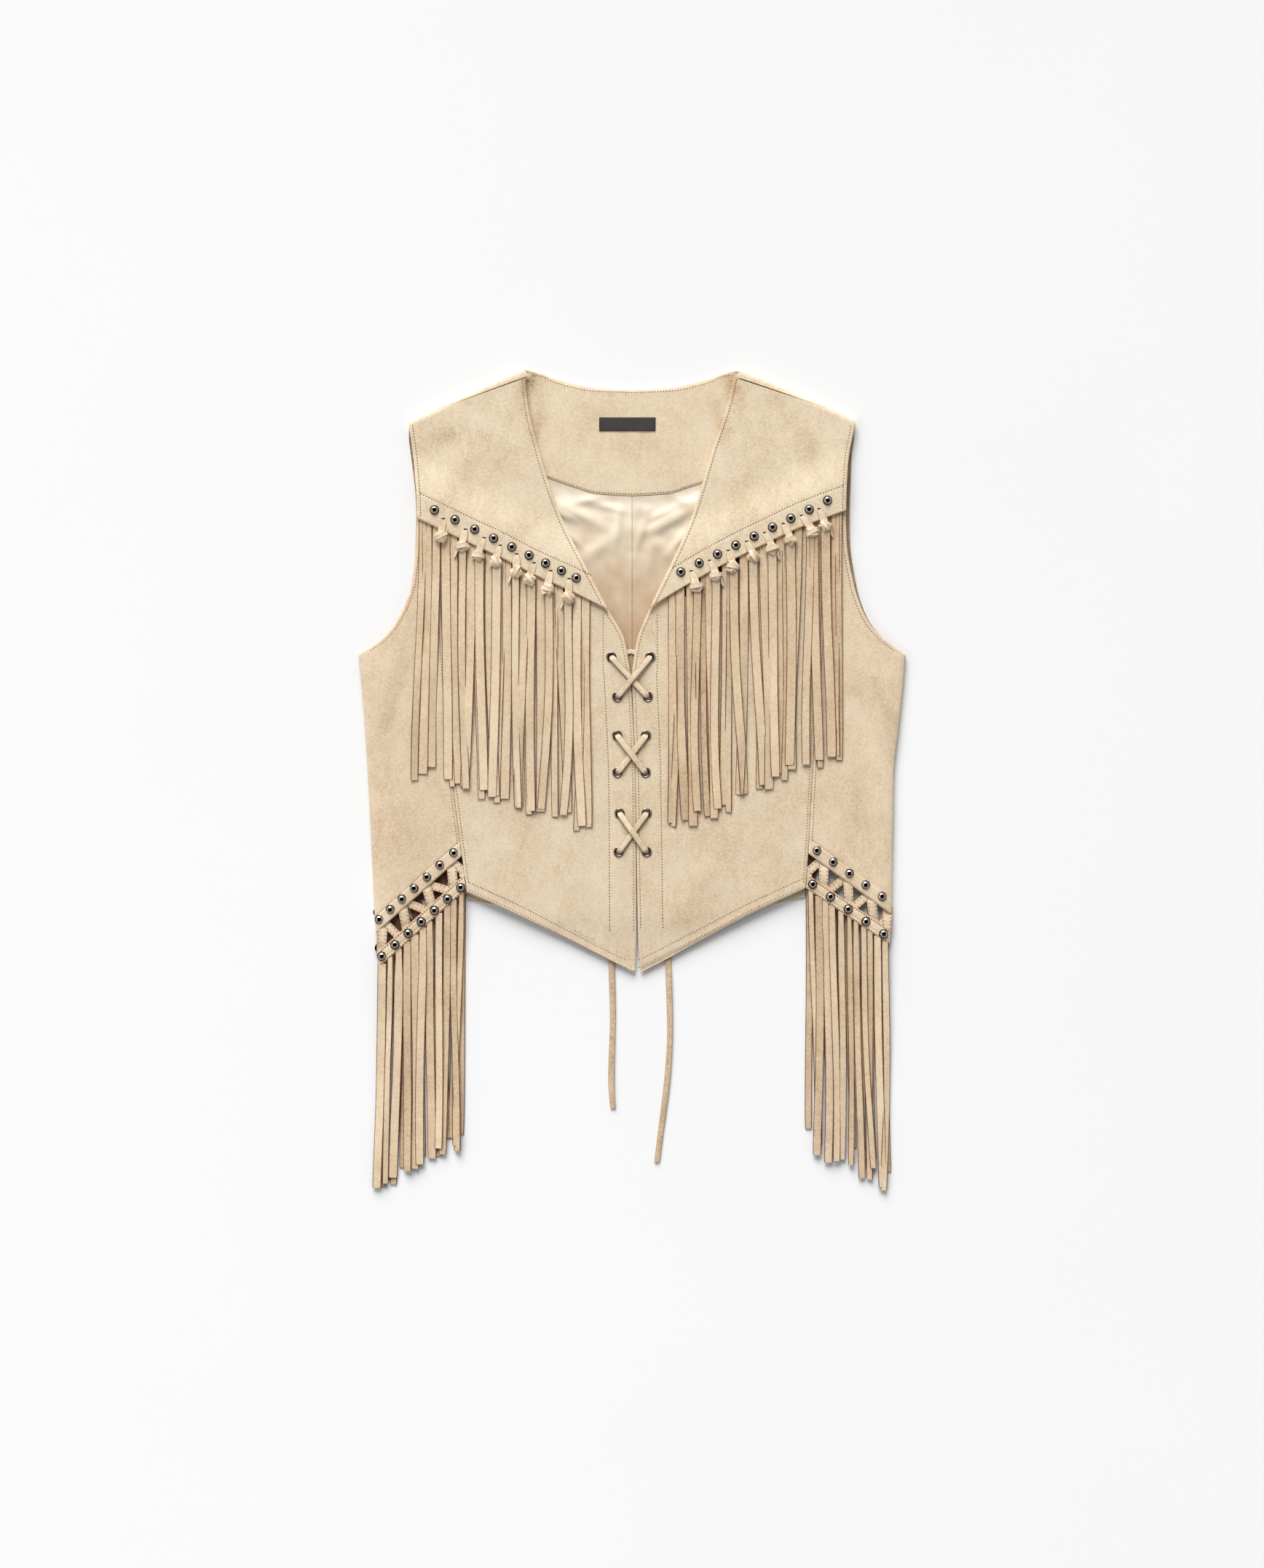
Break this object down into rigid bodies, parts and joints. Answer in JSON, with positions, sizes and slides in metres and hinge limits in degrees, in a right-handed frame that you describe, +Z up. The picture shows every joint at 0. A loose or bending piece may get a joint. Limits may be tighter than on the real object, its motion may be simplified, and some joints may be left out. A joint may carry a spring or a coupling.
{
  "type": "fringe vest",
  "caption": "Suede vest laid flat, with pointed yokes, knotted chest fringe, laced front and fringed hip openings with studded bands.",
  "frame": {"origin": "middle of the underside of the vest's bounding box", "axes": "the vest lies on its back: +X towards its left side as worn, +Y towards the neck, +Z up out of the front"},
  "size_m": [0.466, 0.7031, 0.0129],
  "materials": {
    "suede": "sand suede, napped and matt",
    "fringe": "sand suede strips with cut edges",
    "satin": "ivory satin with a soft sheen",
    "label": "charcoal woven label, plain",
    "metal": "dark antique nickel"
  },
  "bodies": {
    "root": {"back": "suede", "neck_facing": "suede", "label": "label", "lining_right": "satin", "front_right": "suede", "side_front_right": "suede", "yoke_right": "suede", "fringe_chest_right": "fringe", "hip_band_front_right": "suede", "hip_lattice_front_right": "suede", "fringe_hip_front_right": "fringe", "hip_band_back_right": "suede", "hip_lattice_back_right": "suede", "fringe_hip_back_right": "fringe", "eyelet_right_1": "metal", "eyelet_right_2": "metal", "eyelet_right_3": "metal", "eyelet_right_4": "metal", "eyelet_right_5": "metal", "eyelet_right_6": "metal", "lace_tail_right": "fringe", "lining_left": "satin", "front_left": "suede", "side_front_left": "suede", "yoke_left": "suede", "fringe_chest_left": "fringe", "hip_band_front_left": "suede", "hip_lattice_front_left": "suede", "fringe_hip_front_left": "fringe", "hip_band_back_left": "suede", "hip_lattice_back_left": "suede", "fringe_hip_back_left": "fringe", "eyelet_left_1": "metal", "eyelet_left_2": "metal", "eyelet_left_3": "metal", "eyelet_left_4": "metal", "eyelet_left_5": "metal", "eyelet_left_6": "metal", "lace_tail_left": "fringe", "lace": "fringe"}
  },
  "joints": []
}
